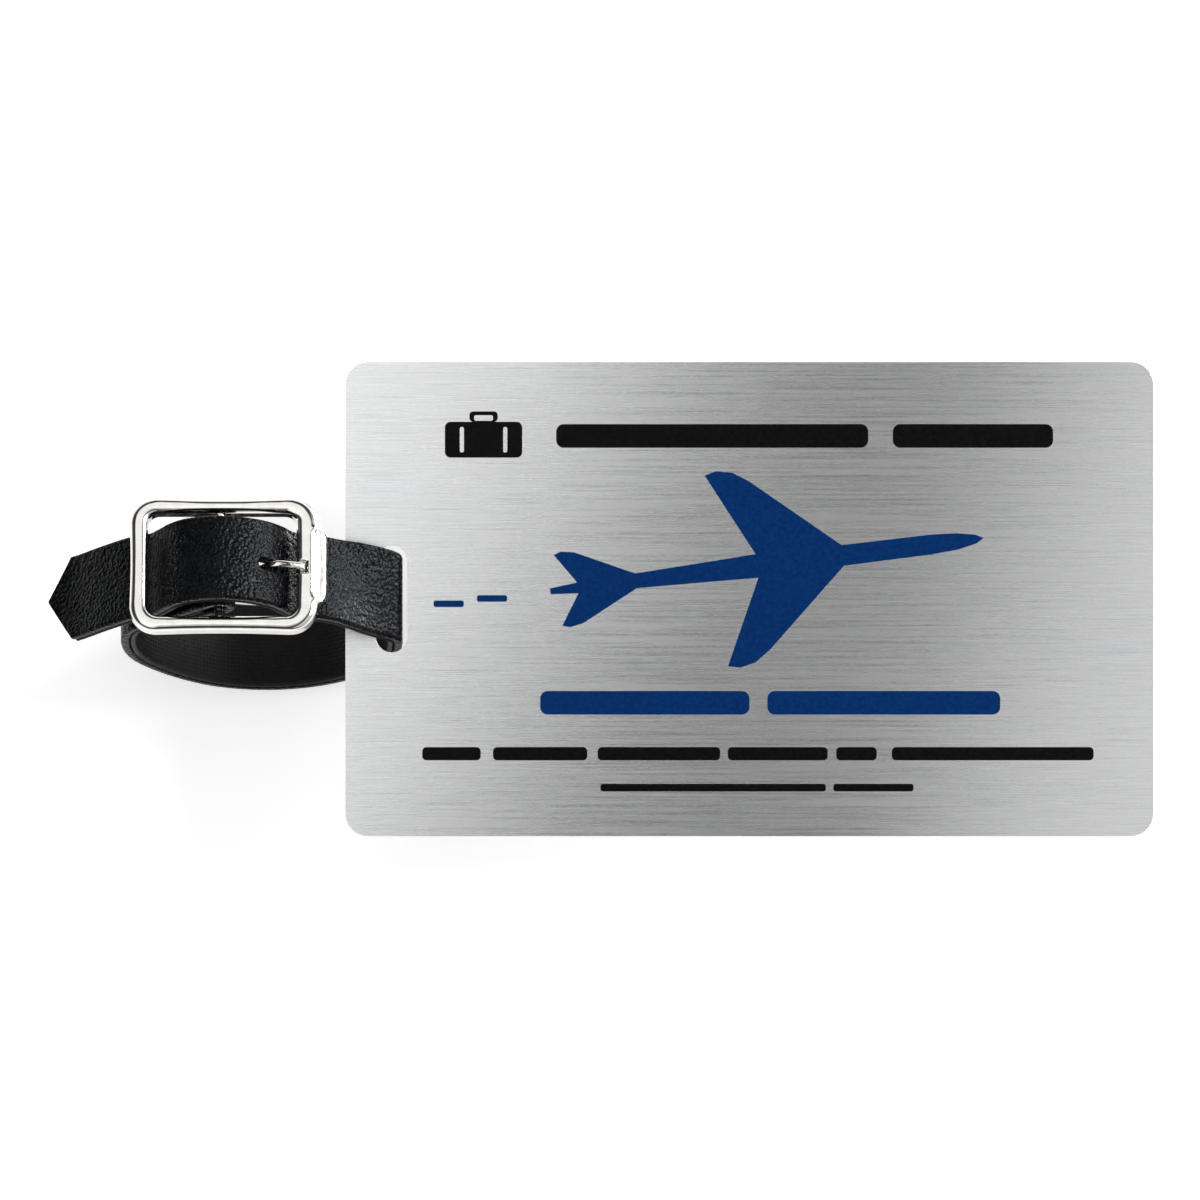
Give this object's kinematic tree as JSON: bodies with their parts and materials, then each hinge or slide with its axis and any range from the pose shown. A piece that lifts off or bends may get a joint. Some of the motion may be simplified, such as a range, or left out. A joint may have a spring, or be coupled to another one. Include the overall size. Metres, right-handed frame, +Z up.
{
  "type": "luggage tag",
  "caption": "Rectangular metal luggage tag with a slot, hung on a buckled leather strap that closes into a loop.",
  "frame": {"origin": "middle of the object's box, on the surface it lies on", "axes": "+X along the plate from the strap to the free edge, +Y across the plate towards its upper long edge, +Z up, with the plate's front face and the buckle facing up"},
  "size_m": [0.1162, 0.0502, 0.0301],
  "materials": {
    "brushed_metal": "brushed lengthwise, rim chamfered and bright",
    "black_leather": "fine pebble grain, semi-gloss",
    "woven_backing": "plain weave, matt",
    "nickel": "polished nickel plate",
    "rivet_steel": "polished"
  },
  "bodies": {
    "strap": {"strap_leather": "black_leather", "strap_backing": "woven_backing", "rivet_post": "rivet_steel", "rivet_cap": "rivet_steel"},
    "plate": {"tag_plate": "brushed_metal"},
    "buckle": {"buckle_frame": "nickel", "buckle_center_bar": "nickel"},
    "prong": {"buckle_prong": "nickel"}
  },
  "joints": [
    {"name": "plate_travel", "type": "hinge", "parent": "strap", "child": "plate", "pos_m": [-0.03507, -0.00021, 0.0153], "axis": [-0.0581, 0.9336, -0.3536], "range_deg": [0, 90]},
    {"name": "buckle_tilt", "type": "hinge", "parent": "strap", "child": "buckle", "pos_m": [-0.03807, 0.0033, 0.02507], "axis": [0.0581, -0.9336, 0.3536], "range_deg": [-2, 2]},
    {"name": "prong_lift", "type": "hinge", "parent": "buckle", "child": "prong", "pos_m": [-0.03806, 0.00302, 0.02517], "axis": [0.0581, -0.9336, 0.3536], "range_deg": [0, 4]}
  ]
}
